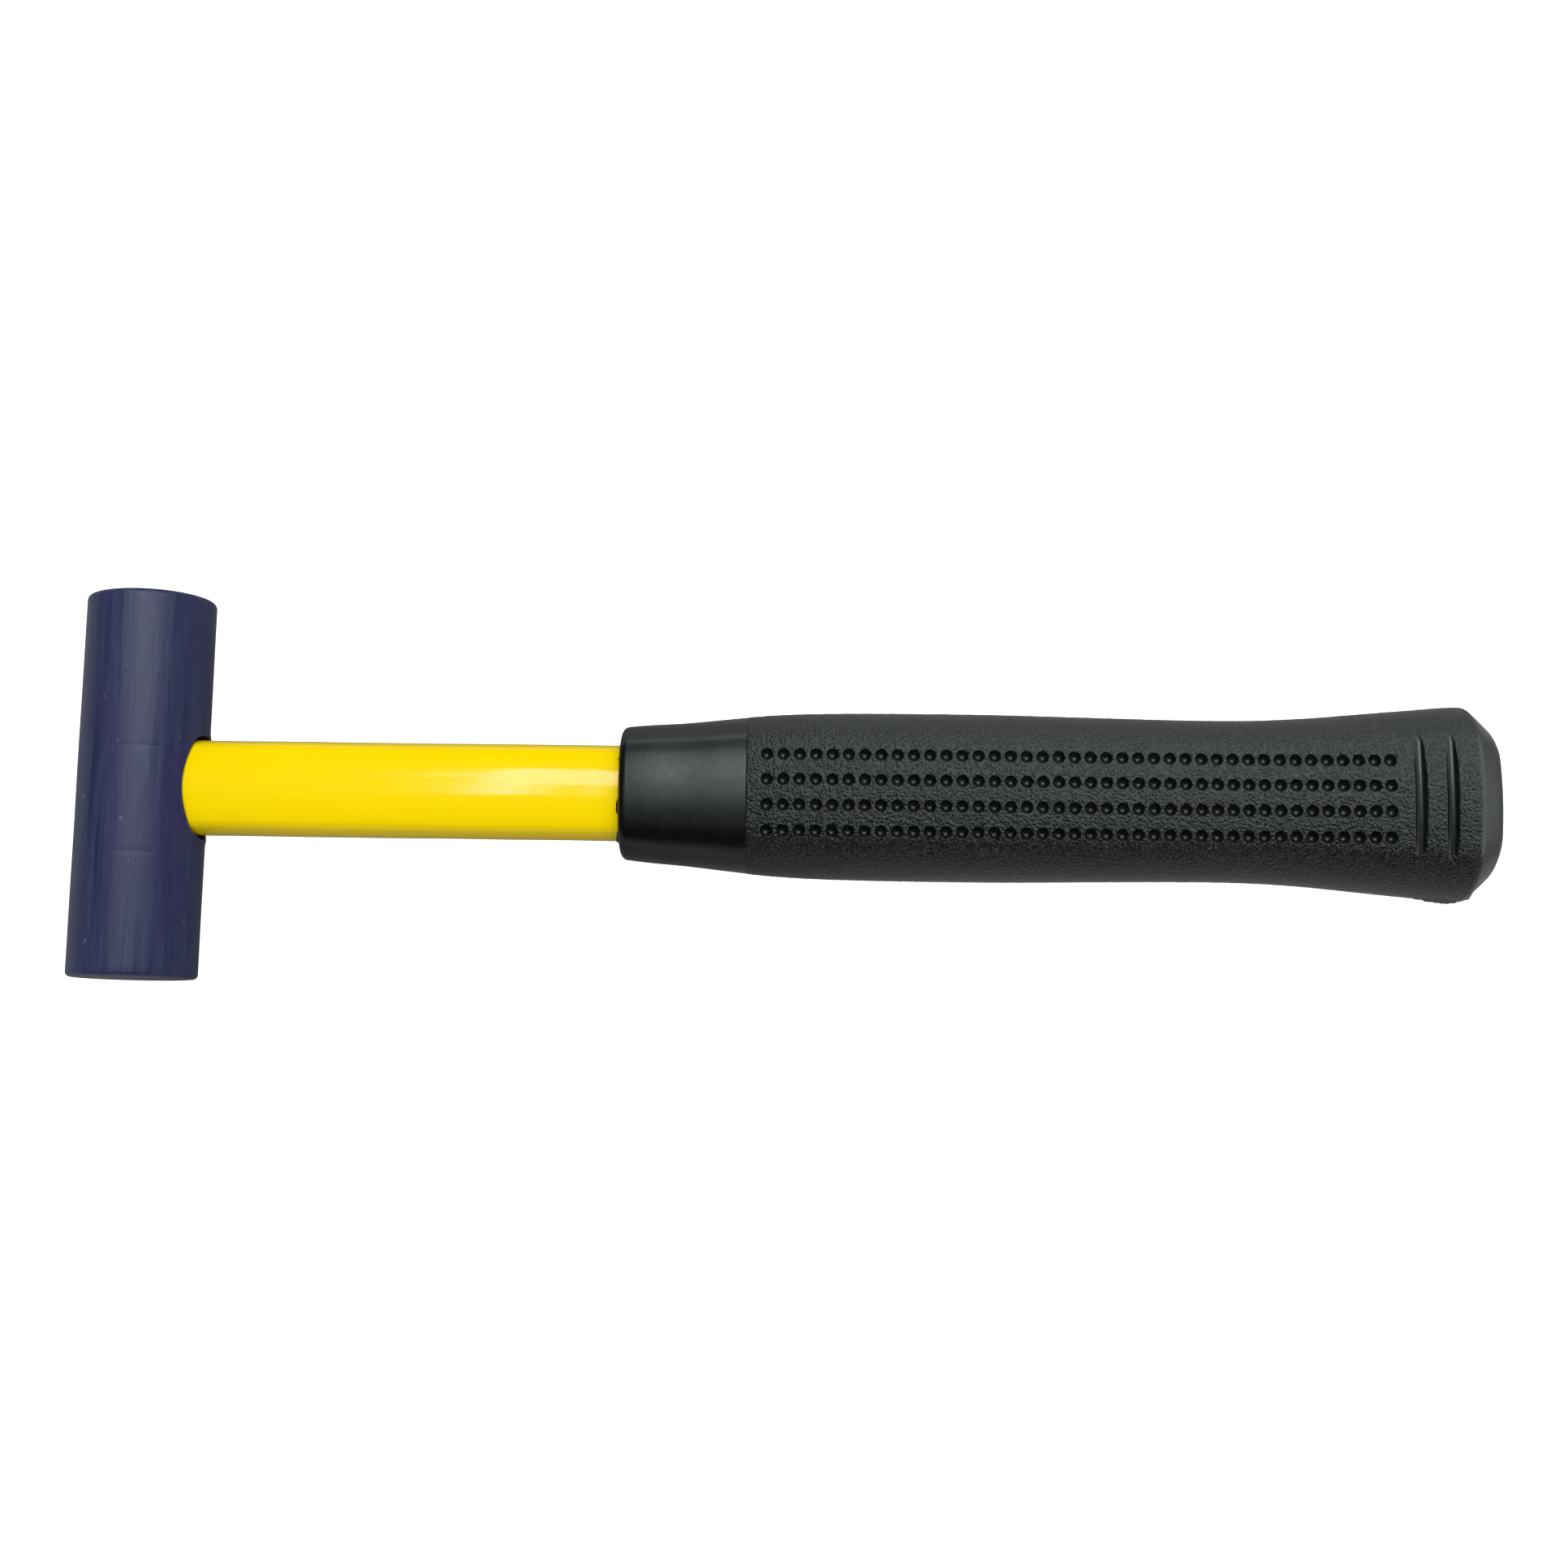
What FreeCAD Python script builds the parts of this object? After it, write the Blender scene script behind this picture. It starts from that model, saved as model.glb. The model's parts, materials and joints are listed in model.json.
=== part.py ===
import FreeCAD, Part
import Sketcher
import math
import os
import re

# Dead blow mallet, in millimetres.
#
# The mallet lies on its side: the handle runs along +X from the head to the butt, the head's axis
# runs along Y, and Z is up. Every piece is drawn about the point where the head's axis crosses the
# handle's axis, and is then placed so that the origin is the middle of the mallet's footprint, at
# the height of its lowest point.

DRIVING_SIZES = {
    # Head: a cast urethane cylinder with flat striking faces
    "head_radius": 12.7,
    "head_length": 78.4,
    "head_edge": 0.8,
    "face_thickness": 5.2,
    # Handle: a flattened oval bar with crowned flats and crowned edges
    "handle_half_height": 9.6,
    "handle_half_depth": 7.3,
    "flat_crown_radius": 18.0,
    "edge_crown_radius": 9.0,
    "handle_corner": 3.2,
    "handle_start": -4.5,
    "handle_end": 267.0,
    "jacket_wall": 1.2,
    "film": 0.2,
    # Eye in the head, with room above and below the handle
    "eye_flat_gap": 0.15,
    "eye_edge_gap": 1.1,
    # Steel parts cast into the head
    "canister_radius": 9.6,
    "canister_wall": 1.0,
    "canister_corner": 1.5,
    "lid_thickness": 1.5,
    "lid_dish": 0.5,
    "socket_length": 22.0,
    "pin_radius": 1.6,
    "pin_wall": 0.5,
    "pin_slot": 0.6,
    "pin_length": 18.0,
    # Loose steel shot
    "ball_radius": 2.0,
    "ball_gap": 0.05,
    # Grip: half-heights at stations along the handle, and its depth as a share of its height
    "grip_flatness": 0.82,
    "front_x": 98.6,
    "front_half": 13.9,
    "collar_x": 110.0,
    "collar_half": 14.4,
    "shoulder_x": 124.0,
    "shoulder_half": 15.95,
    "barrel_x": 140.0,
    "barrel_half": 16.8,
    "belly_x": 165.0,
    "belly_half": 17.0,
    "waist_x": 215.0,
    "waist_half": 16.3,
    "swell_x": 237.0,
    "swell_half": 17.0,
    "flare_x": 255.0,
    "flare_half": 18.75,
    "rim_x": 268.4,
    "rim_half": 19.8,
    "butt_x": 274.4,
    "butt_half": 14.4,
    "front_edge": 1.6,
    "rim_edge": 0.7,
    "butt_edge": 2.2,
    # Two shallow finger grooves across each flat of the grip, near the butt
    "first_groove_x": 257.2,
    "second_groove_x": 263.6,
    "groove_depth": 0.9,
    "groove_tube_radius": 1.4,
    "groove_sweep_radius": 28.0,
}

DERIVED_SIZES = {
    "nothing": "0",
    "core_inset": "0 - jacket_wall",
    "middle_x": "(butt_x - head_radius) / 2",
    "half_depth": "rim_half * grip_flatness",
    "canister_end": "head_length / 2 - face_thickness",
    "canister_start": "socket_length / 2",
    "chamber_radius": "canister_radius - canister_wall",
    "lid_dish_radius": "chamber_radius - 2 * canister_wall",
    "lid_dish_floor": "canister_start + lid_dish",
    "chamber_start": "canister_start + lid_thickness",
    "chamber_end": "canister_end - canister_wall",
    "flare_slope": "(rim_half - flare_half) / (rim_x - flare_x)",
}

GRIP_STATIONS = ("front", "collar", "shoulder", "barrel", "belly", "waist", "swell", "flare", "rim")

SHOT_LAYERS = 4
OUTER_RING_BALLS = 10
INNER_RING_BALLS = 3

# Turns a shape drawn on XY so that it faces along +X, with its first axis along Y
FACING_X = FreeCAD.Rotation(FreeCAD.Vector(1, 1, 1), 120)
# Turns a cylinder drawn along Z so that it lies along +Y
FACING_Y = FreeCAD.Rotation(FreeCAD.Vector(1, 0, 0), -90)
UPRIGHT = FreeCAD.Rotation()
# Turns the upper half of the head over, onto the lower half
TURNED_OVER = FreeCAD.Rotation(FreeCAD.Vector(1, 0, 0), 180)

# Sketcher's numbers for the points of a side and for the sketch's own axes
BEGINNING, END, CENTRE = 1, 2, 3
H_AXIS, V_AXIS = -1, -2
ROOT = (-1, 1)

doc = FreeCAD.newDocument("DeadBlowMallet")
sizes = doc.addObject("Spreadsheet::Sheet", "Sizes")
sizes.Label = "sizes"


def fill_sheet():
    rows = list(DRIVING_SIZES.items())
    rows += [(alias, "=" + formula) for alias, formula in DERIVED_SIZES.items()]
    for row, (alias, value) in enumerate(rows, start=1):
        sizes.set(f"A{row}", alias.replace("_", " "))
        sizes.set(f"B{row}", str(value))
        sizes.setAlias(f"B{row}", alias)
    doc.recompute()


def size(alias):
    return float(getattr(sizes, alias))


def bind(item, prop, formula):
    """Bind a property to a formula written in the sheet's aliases."""
    def cell(match):
        word = match.group()
        known = word in DRIVING_SIZES or word in DERIVED_SIZES
        return f"<<sizes>>.{word}" if known else word
    item.setExpression(prop, re.sub(r"[a-z_]+", cell, formula))


def new_body(name):
    body = doc.addObject("PartDesign::Body", name)
    body.Label = name
    return body


def new_sketch(body, role, name):
    """A sketch on one of the body's own origin planes."""
    plane = next(item for item in body.Origin.OriginFeatures if item.Role == role)
    sketch = body.newObject("Sketcher::SketchObject", name)
    sketch.AttachmentSupport = [(plane, "")]
    sketch.MapMode = "FlatFace"
    return sketch


def measure(sketch, kind, where, value, formula):
    """Add a dimension that has the value now, and follows the formula."""
    number = sketch.addConstraint(Sketcher.Constraint(kind, *where, value))
    bind(sketch, f"Constraints[{number}]", formula)


def relate(sketch, kind, *where):
    sketch.addConstraint(Sketcher.Constraint(kind, *where))


def draw_handle_section(sketch, edge_gap, flat_gap):
    """Two crowned edges and two crowned flats that meet at corners, each grown by its gap."""
    facing = FreeCAD.Vector(0, 0, 1)
    edge_radius = size("edge_crown_radius") + size(edge_gap)
    flat_radius = size("flat_crown_radius") + size(flat_gap)
    edge_offset = size("handle_half_height") - size("edge_crown_radius")
    flat_offset = size("flat_crown_radius") - size("handle_half_depth")
    right = Part.Circle(FreeCAD.Vector(edge_offset, 0, 0), facing, edge_radius)
    top = Part.Circle(FreeCAD.Vector(0, -flat_offset, 0), facing, flat_radius)
    left = Part.Circle(FreeCAD.Vector(-edge_offset, 0, 0), facing, edge_radius)
    bottom = Part.Circle(FreeCAD.Vector(0, flat_offset, 0), facing, flat_radius)
    corner = max(right.intersect(top), key=lambda point: point.X)
    edge_turn = math.atan2(corner.Y, corner.X - edge_offset)
    flat_turn = math.atan2(corner.Y + flat_offset, corner.X)
    sketch.addGeometry(Part.ArcOfCircle(right, -edge_turn, edge_turn))
    sketch.addGeometry(Part.ArcOfCircle(top, flat_turn, math.pi - flat_turn))
    sketch.addGeometry(Part.ArcOfCircle(left, math.pi - edge_turn, math.pi + edge_turn))
    sketch.addGeometry(Part.ArcOfCircle(bottom, math.pi + flat_turn, 2 * math.pi - flat_turn))
    for side, axis in enumerate((H_AXIS, V_AXIS, H_AXIS, V_AXIS)):
        relate(sketch, "PointOnObject", side, CENTRE, axis)
        relate(sketch, "Coincident", side, END, (side + 1) % 4, BEGINNING)
    relate(sketch, "Equal", 0, 2)
    relate(sketch, "Equal", 1, 3)
    measure(sketch, "Radius", (0,), edge_radius, f"edge_crown_radius + {edge_gap}")
    measure(sketch, "Radius", (1,), flat_radius, f"flat_crown_radius + {flat_gap}")
    edge_formula = "handle_half_height - edge_crown_radius"
    flat_formula = "flat_crown_radius - handle_half_depth"
    measure(sketch, "DistanceX", (*ROOT, 0, CENTRE), edge_offset, edge_formula)
    measure(sketch, "DistanceX", (2, CENTRE, *ROOT), edge_offset, edge_formula)
    measure(sketch, "DistanceY", (1, CENTRE, *ROOT), flat_offset, flat_formula)
    measure(sketch, "DistanceY", (*ROOT, 3, CENTRE), flat_offset, flat_formula)


def edges_along_x(shape):
    names = []
    for number, edge in enumerate(shape.Edges, start=1):
        run = edge.Vertexes[-1].Point - edge.Vertexes[0].Point
        if abs(run.x) > 0.99 * run.Length > 0:
            names.append(f"Edge{number}")
    return names


def handle_bar(name, start, end, edge_gap="nothing", flat_gap="nothing"):
    """A bar of the handle's section, grown by the gaps, between two stations along X."""
    body = new_body(name)
    sketch = new_sketch(body, "YZ_Plane", name + "_section")
    bind(sketch, "AttachmentOffset.Base.z", start)
    draw_handle_section(sketch, edge_gap, flat_gap)
    pad = body.newObject("PartDesign::Pad", name + "_pad")
    pad.Profile = sketch
    bind(pad, "Length", f"({end}) - ({start})")
    doc.recompute()
    corners = body.newObject("PartDesign::Fillet", name + "_corners")
    corners.Base = (pad, edges_along_x(pad.Shape))
    bind(corners, "Radius", f"handle_corner + {flat_gap}")
    return body


def turned_body(name, corners):
    """A body turned about Y: each corner of its profile is a radius and a height in the sheet."""
    body = new_body(name)
    sketch = new_sketch(body, "XY_Plane", name + "_profile")
    places = [FreeCAD.Vector(size(radius), size(height), 0) for radius, height in corners]
    for place, next_place in zip(places, places[1:] + places[:1]):
        sketch.addGeometry(Part.LineSegment(place, next_place))
    for side, (radius, height) in enumerate(corners):
        relate(sketch, "Coincident", side, END, (side + 1) % len(corners), BEGINNING)
        measure(sketch, "DistanceY", (*ROOT, side, BEGINNING), size(height), height)
        if radius == "nothing":
            relate(sketch, "PointOnObject", side, BEGINNING, V_AXIS)
        else:
            measure(sketch, "DistanceX", (*ROOT, side, BEGINNING), size(radius), radius)
    turned = body.newObject("PartDesign::Revolution", name + "_turned")
    turned.Profile = sketch
    turned.ReferenceAxis = (sketch, ["V_Axis"])
    turned.Angle = 360
    doc.recompute()
    return body


def round_rim(body, radius_name, height_name, rounding):
    """Round the circular edge of a turned body that has this radius at this height."""
    base = body.Tip
    for number, edge in enumerate(base.Shape.Edges, start=1):
        if not isinstance(edge.Curve, Part.Circle):
            continue
        same_radius = math.isclose(edge.Curve.Radius, size(radius_name), abs_tol=0.01)
        same_height = math.isclose(edge.Curve.Center.y, size(height_name), abs_tol=0.01)
        if same_radius and same_height:
            rim = body.newObject("PartDesign::Fillet", f"{body.Name}_rim_{number}")
            rim.Base = (base, [f"Edge{number}"])
            bind(rim, "Radius", rounding)
            doc.recompute()
            return


def round_cylinder(name, radius, half_length, rim_radius):
    """A cylinder on the head's axis, centred on the handle, with rounded rims."""
    blank = doc.addObject("Part::Cylinder", name + "_blank")
    blank.Placement = FreeCAD.Placement(FreeCAD.Vector(), FACING_Y)
    bind(blank, "Radius", radius)
    bind(blank, "Height", f"2 * ({half_length})")
    bind(blank, "Placement.Base.y", f"0 - ({half_length})")
    doc.recompute()
    edges = enumerate(blank.Shape.Edges, start=1)
    rims = [number for number, edge in edges if isinstance(edge.Curve, Part.Circle)]
    rounded = doc.addObject("Part::Fillet", name)
    rounded.Base = blank
    rounded.Edges = [(number, rim_radius, rim_radius) for number in rims]
    return rounded


def combine(kind, name, base, tool):
    item = doc.addObject(kind, name)
    item.Base = base
    item.Tool = tool
    return item


def cut(name, base, *tools):
    """Cut each tool in turn out of the base."""
    for step, tool in enumerate(tools, start=1):
        step_name = name if step == len(tools) else f"{name}_step_{step}"
        base = combine("Part::Cut", step_name, base, tool)
    return base


def make_pin_stock(name, radius, half_length):
    """A cylinder along Z, centred on the handle's axis."""
    stock = doc.addObject("Part::Cylinder", name)
    bind(stock, "Radius", radius)
    bind(stock, "Height", f"2 * ({half_length})")
    bind(stock, "Placement.Base.z", f"0 - ({half_length})")
    return stock


def make_handle(pin_hole):
    """A fibreglass core in a moulded jacket, both drilled for the lock pin."""
    outer_bar = handle_bar("handle_outer", "handle_start", "handle_end")
    core_bar = handle_bar("core_bar", "handle_start", "handle_end", "core_inset", "core_inset")
    return {
        "handle_core": cut("handle_core", core_bar, pin_hole),
        "handle_jacket": cut("handle_jacket", outer_bar, core_bar, pin_hole),
    }


def make_head(pin_hole):
    """A urethane casing cast round a steel socket, with the socket bonded and pinned to the handle."""
    blank = round_cylinder("head_blank", "head_radius", "head_length / 2", size("head_edge"))
    insert = round_cylinder("head_insert", "canister_radius", "canister_end", size("canister_corner"))
    eye = handle_bar("eye_slot", "nothing", "head_radius + 1", "eye_edge_gap", "eye_flat_gap")
    casing = cut("head_casing", blank, insert, eye)

    socket_block = doc.addObject("Part::Cylinder", "socket_block")
    socket_block.Placement = FreeCAD.Placement(FreeCAD.Vector(), FACING_Y)
    bind(socket_block, "Radius", "canister_radius")
    bind(socket_block, "Height", "socket_length")
    bind(socket_block, "Placement.Base.y", "0 - socket_length / 2")
    socket_bar = handle_bar("socket_bar", "handle_start - film", "canister_radius + 1", "film", "film")
    bonded_bar = handle_bar("bonded_bar", "handle_start", "canister_radius + 1")
    bonded_block = combine("Part::Common", "bonded_block", socket_block, socket_bar)
    return {
        "head_casing": casing,
        "handle_socket": cut("handle_socket", socket_block, socket_bar, pin_hole),
        "socket_adhesive": cut("socket_adhesive", bonded_block, bonded_bar, pin_hole),
    }


def make_lock_pin():
    """A slotted spring pin that holds the handle in its socket."""
    stock = make_pin_stock("pin_stock", "pin_radius", "pin_length / 2")
    bore = make_pin_stock("pin_bore", "pin_radius - pin_wall", "pin_length / 2 + 1")
    slot = doc.addObject("Part::Box", "pin_slot_cutter")
    bind(slot, "Length", "2 * pin_radius")
    bind(slot, "Width", "pin_slot")
    bind(slot, "Height", "pin_length + 2")
    bind(slot, "Placement.Base.y", "0 - pin_slot / 2")
    bind(slot, "Placement.Base.z", "0 - pin_length / 2 - 1")
    return {"lock_pin": cut("lock_pin", stock, bore, slot)}


def make_canister(half):
    """A drawn steel cup, closed at the handle's side by a pressed-in lid."""
    cup = turned_body(half + "_canister", (
        ("nothing", "canister_end"),
        ("nothing", "chamber_end"),
        ("chamber_radius", "chamber_end"),
        ("chamber_radius", "canister_start"),
        ("canister_radius", "canister_start"),
        ("canister_radius", "canister_end"),
    ))
    round_rim(cup, "canister_radius", "canister_end", "canister_corner")
    round_rim(cup, "chamber_radius", "chamber_end", "canister_corner - canister_wall")
    lid = turned_body(half + "_canister_lid", (
        ("nothing", "lid_dish_floor"),
        ("lid_dish_radius", "lid_dish_floor"),
        ("lid_dish_radius", "canister_start"),
        ("chamber_radius", "canister_start"),
        ("chamber_radius", "chamber_start"),
        ("nothing", "chamber_start"),
    ))
    return {half + "_canister": cup, half + "_canister_lid": lid}


def ring_of_balls(count, ring_radius, height, first_turn):
    """Balls evenly spaced round the head's axis, at a height along it."""
    balls = []
    for number in range(count):
        turn = first_turn + 2 * math.pi * number / count
        centre = FreeCAD.Vector(ring_radius * math.cos(turn), height, ring_radius * math.sin(turn))
        balls.append(Part.makeSphere(size("ball_radius"), centre))
    return balls


def make_shot(half):
    """Loose steel balls in level layers, each layer turned half a ball's step from the last."""
    pitch = 2 * size("ball_radius") + size("ball_gap")
    outer_radius = size("chamber_radius") - size("ball_radius") - size("ball_gap")
    inner_radius = pitch / (2 * math.sin(math.pi / INNER_RING_BALLS))
    balls = []
    for layer in range(SHOT_LAYERS):
        height = size("chamber_start") + size("ball_gap") + size("ball_radius") + layer * pitch
        turn = layer * math.pi / OUTER_RING_BALLS
        balls += ring_of_balls(OUTER_RING_BALLS, outer_radius, height, turn)
        balls += ring_of_balls(INNER_RING_BALLS, inner_radius, height, -turn)
    shot = doc.addObject("Part::Feature", half + "_shot")
    shot.Shape = Part.makeCompound(balls)
    return {half + "_shot": shot}


def grip_section(name, x, half):
    section = doc.addObject("Part::Ellipse", name)
    section.Placement = FreeCAD.Placement(FreeCAD.Vector(), FACING_X)
    bind(section, "MajorRadius", half)
    bind(section, "MinorRadius", f"{half} * grip_flatness")
    bind(section, "Placement.Base.x", x)
    return section


def loft(name, sections, ruled):
    item = doc.addObject("Part::Loft", name)
    item.Sections = sections
    item.Solid = True
    item.Ruled = ruled
    return item


def is_rim(edge, x_name):
    """True for an edge that goes once round the grip at one of its stations."""
    box = edge.BoundBox
    at_station = abs(box.XMin - size(x_name)) < 0.01 and abs(box.XMax - size(x_name)) < 0.01
    return at_station and edge.isClosed()


def groove_cutter(name, x_name, side):
    """A ring round X that bites into one flat of the grip, deepest midway across."""
    ring = doc.addObject("Part::Torus", name)
    ring.Placement = FreeCAD.Placement(FreeCAD.Vector(), FACING_X)
    surface = f"(flare_half + flare_slope * ({x_name} - flare_x)) * grip_flatness"
    bind(ring, "Radius1", "groove_sweep_radius")
    bind(ring, "Radius2", "groove_tube_radius")
    bind(ring, "Placement.Base.x", x_name)
    ring_height = f"{surface} - groove_depth + groove_tube_radius - groove_sweep_radius"
    bind(ring, "Placement.Base.z", f"{side} * ({ring_height})")
    return ring


def make_grip():
    """A rubber grip with a swelling barrel and a flared, bevelled butt, bonded to the handle."""
    sections = [grip_section(f"{name}_section", f"{name}_x", f"{name}_half") for name in GRIP_STATIONS]
    barrel = loft("grip_barrel", sections, ruled=False)
    butt_section = grip_section("butt_section", "butt_x", "butt_half")
    bevel = loft("grip_bevel", [sections[-1], butt_section], ruled=True)
    blank = combine("Part::Fuse", "grip_blank", barrel, bevel)
    doc.recompute()
    roundings = []
    for number, edge in enumerate(blank.Shape.Edges, start=1):
        rounded = (("front_x", "front_edge"), ("rim_x", "rim_edge"), ("butt_x", "butt_edge"))
        for x_name, radius_name in rounded:
            if is_rim(edge, x_name):
                roundings.append((number, size(radius_name), size(radius_name)))
    rounded = doc.addObject("Part::Fillet", "grip_rounded")
    rounded.Base = blank
    rounded.Edges = roundings

    grooves = []
    for x_name in ("first_groove_x", "second_groove_x"):
        for side, side_name in ((1, "top"), (-1, "bottom")):
            grooves.append(groove_cutter(f"{x_name}_{side_name}", x_name, side))

    grip_bar = handle_bar("grip_bar", "front_x - 1", "handle_end + film", "film", "film")
    film_bar = handle_bar("film_bar", "front_x + front_edge", "handle_end + film", "film", "film")
    bare_bar = handle_bar("bare_bar", "front_x", "handle_end")
    return {
        "grip": cut("grip", rounded, grip_bar, *grooves),
        "grip_adhesive": cut("grip_adhesive", film_bar, bare_bar),
    }


def place(item, name, turned_over):
    """Name a piece, and move it from the crossing of the axes to its place over the footprint."""
    item.Label = name
    item.Placement = FreeCAD.Placement(FreeCAD.Vector(), TURNED_OVER if turned_over else UPRIGHT)
    bind(item, "Placement.Base.x", "0 - middle_x")
    bind(item, "Placement.Base.z", "half_depth")


def check_document():
    for item in doc.Objects:
        if "Invalid" in item.State or "Error" in item.State:
            raise RuntimeError(f"{item.Name} failed: {item.State}")


def export(name, item):
    if item.Shape.isNull() or not item.Shape.isValid():
        raise RuntimeError(f"{name} has no valid shape")
    item.Shape.exportStep(f"parts/{name}.step")
    box = item.Shape.optimalBoundingBox()
    print(f"{name:22s} {item.Shape.Volume:10.1f} mm3  {len(item.Shape.Solids):3d} solids  "
          f"x {box.XMin:.2f} to {box.XMax:.2f}  y {box.YMin:.2f} to {box.YMax:.2f}  "
          f"z {box.ZMin:.2f} to {box.ZMax:.2f}")


fill_sheet()
pin_hole = make_pin_stock("pin_hole", "pin_radius", "pin_length / 2")
pieces = {}
pieces.update(make_head(pin_hole))
pieces.update(make_lock_pin())
pieces.update(make_handle(pin_hole))
pieces.update(make_grip())
for half in ("upper", "lower"):
    pieces.update(make_canister(half))
    pieces.update(make_shot(half))

for piece_name, piece in pieces.items():
    place(piece, piece_name, turned_over=piece_name.startswith("lower"))
doc.recompute()
check_document()
os.makedirs("parts", exist_ok=True)
for piece_name, piece in pieces.items():
    export(piece_name, piece)
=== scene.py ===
import json
import math

import bpy
from mathutils import Euler, Matrix, Vector, noise


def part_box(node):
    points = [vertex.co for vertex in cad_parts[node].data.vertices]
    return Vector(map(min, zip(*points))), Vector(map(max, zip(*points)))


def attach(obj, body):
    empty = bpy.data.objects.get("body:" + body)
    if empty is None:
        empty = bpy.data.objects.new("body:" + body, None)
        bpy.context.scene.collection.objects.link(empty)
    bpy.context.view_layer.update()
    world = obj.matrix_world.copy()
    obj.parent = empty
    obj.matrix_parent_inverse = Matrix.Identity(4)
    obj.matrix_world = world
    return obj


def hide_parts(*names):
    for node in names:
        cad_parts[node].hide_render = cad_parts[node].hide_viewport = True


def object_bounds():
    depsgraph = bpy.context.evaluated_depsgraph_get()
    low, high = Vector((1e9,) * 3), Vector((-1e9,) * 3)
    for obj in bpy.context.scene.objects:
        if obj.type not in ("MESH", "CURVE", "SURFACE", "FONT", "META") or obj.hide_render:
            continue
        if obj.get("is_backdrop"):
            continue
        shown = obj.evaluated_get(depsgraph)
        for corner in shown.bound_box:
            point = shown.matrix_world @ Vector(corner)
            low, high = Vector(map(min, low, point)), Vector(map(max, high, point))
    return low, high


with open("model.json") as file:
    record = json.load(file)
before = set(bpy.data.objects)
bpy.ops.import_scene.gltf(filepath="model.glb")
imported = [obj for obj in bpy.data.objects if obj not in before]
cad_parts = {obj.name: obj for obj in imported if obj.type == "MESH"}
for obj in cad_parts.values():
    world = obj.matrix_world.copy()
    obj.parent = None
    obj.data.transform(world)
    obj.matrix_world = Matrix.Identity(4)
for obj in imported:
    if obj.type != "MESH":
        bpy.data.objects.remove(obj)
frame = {"nodes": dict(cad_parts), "record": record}
CAD_LOW, CAD_HIGH = (corner.copy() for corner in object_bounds())

# Lengths below are in millimetres, and MM turns them into the frame's metres.
MM = 0.001
BODY = "mallet"

# ---------------------------------------------------------------- places read from the frame

HEAD_LOW, HEAD_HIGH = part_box("head_casing")
GRIP_LOW, GRIP_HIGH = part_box("grip")
JACKET_LOW, JACKET_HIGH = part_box("handle_jacket")

AXES = (HEAD_LOW + HEAD_HIGH) / 2          # where the head's axis crosses the handle's axis
HEAD_RADIUS = (HEAD_HIGH.x - HEAD_LOW.x) / 2 / MM
HEAD_HALF_LENGTH = (HEAD_HIGH.y - HEAD_LOW.y) / 2 / MM - 0.15        # the faces are trimmed a hair short
HANDLE_HALF_HEIGHT = (JACKET_HIGH.y - JACKET_LOW.y) / 2 / MM
HANDLE_HALF_DEPTH = (JACKET_HIGH.z - JACKET_LOW.z) / 2 / MM
HANDLE_START = (JACKET_LOW.x - AXES.x) / MM
HANDLE_END = (JACKET_HIGH.x - AXES.x) / MM
FRONT_X = (GRIP_LOW.x - AXES.x) / MM       # the grip's two ends, measured from the head's axis
BUTT_X = (GRIP_HIGH.x - AXES.x) / MM


def place(x, y, z):
    """A point in metres in the frame, from millimetres about the crossing of the axes."""
    return AXES + Vector((x, y, z)) * MM


def smoothstep(value, low, high):
    share = min(max((value - low) / (high - low), 0.0), 1.0)
    return share * share * (3 - 2 * share)


def make_piece(name, points, faces, material, values=None):
    """A smooth-shaded mesh piece. values holds named numbers for each point, for its material."""
    mesh = bpy.data.meshes.new(name)
    mesh.from_pydata([place(*point) for point in points], [], faces)
    for face in mesh.polygons:
        face.use_smooth = True
    for label, numbers in (values or {}).items():
        mesh.attributes.new(label, "FLOAT", "POINT").data.foreach_set("value", numbers)
    mesh.validate()
    mesh.materials.append(material)
    piece = bpy.data.objects.new(name, mesh)
    bpy.context.scene.collection.objects.link(piece)
    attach(piece, BODY)
    return piece


# ---------------------------------------------------------------- materials

def new_material(name):
    material = bpy.data.materials.new(name)
    material.use_nodes = True
    nodes = material.node_tree.nodes
    nodes.clear()
    output = nodes.new("ShaderNodeOutputMaterial")
    shader = nodes.new("ShaderNodeBsdfPrincipled")
    material.node_tree.links.new(shader.outputs["BSDF"], output.inputs["Surface"])
    return material, shader


def add_node(material, kind, **settings):
    """Add a node. A setting named after one of its inputs sets that, and any other one its property."""
    node = material.node_tree.nodes.new(kind)
    for label, value in settings.items():
        socket = label.replace("_", " ")
        if socket in node.inputs:
            node.inputs[socket].default_value = value
        else:
            setattr(node, label, value)
    return node


def link(material, source, target):
    material.node_tree.links.new(source, target)


def object_coordinates(material, stretch=(1, 1, 1)):
    """Coordinates in millimetres, squeezed by stretch along each axis."""
    coordinates = add_node(material, "ShaderNodeTexCoord")
    mapping = add_node(material, "ShaderNodeMapping")
    mapping.inputs["Scale"].default_value = [factor / MM for factor in stretch]
    link(material, coordinates.outputs["Object"], mapping.inputs["Vector"])
    return mapping.outputs["Vector"]


def noise_value(material, stretch, size, detail=3.0, roughness=0.5):
    """Noise from 0 to 1 with features of about this size in millimetres."""
    texture = add_node(material, "ShaderNodeTexNoise", Scale=1.0 / size, Detail=detail, Roughness=roughness)
    link(material, object_coordinates(material, stretch), texture.inputs["Vector"])
    return texture.outputs["Fac"]


def remap(material, value, low, high, to_low, to_high):
    node = add_node(material, "ShaderNodeMapRange")
    for label, number in (("From Min", low), ("From Max", high), ("To Min", to_low), ("To Max", to_high)):
        node.inputs[label].default_value = number
    link(material, value, node.inputs["Value"])
    return node.outputs["Result"]


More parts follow.
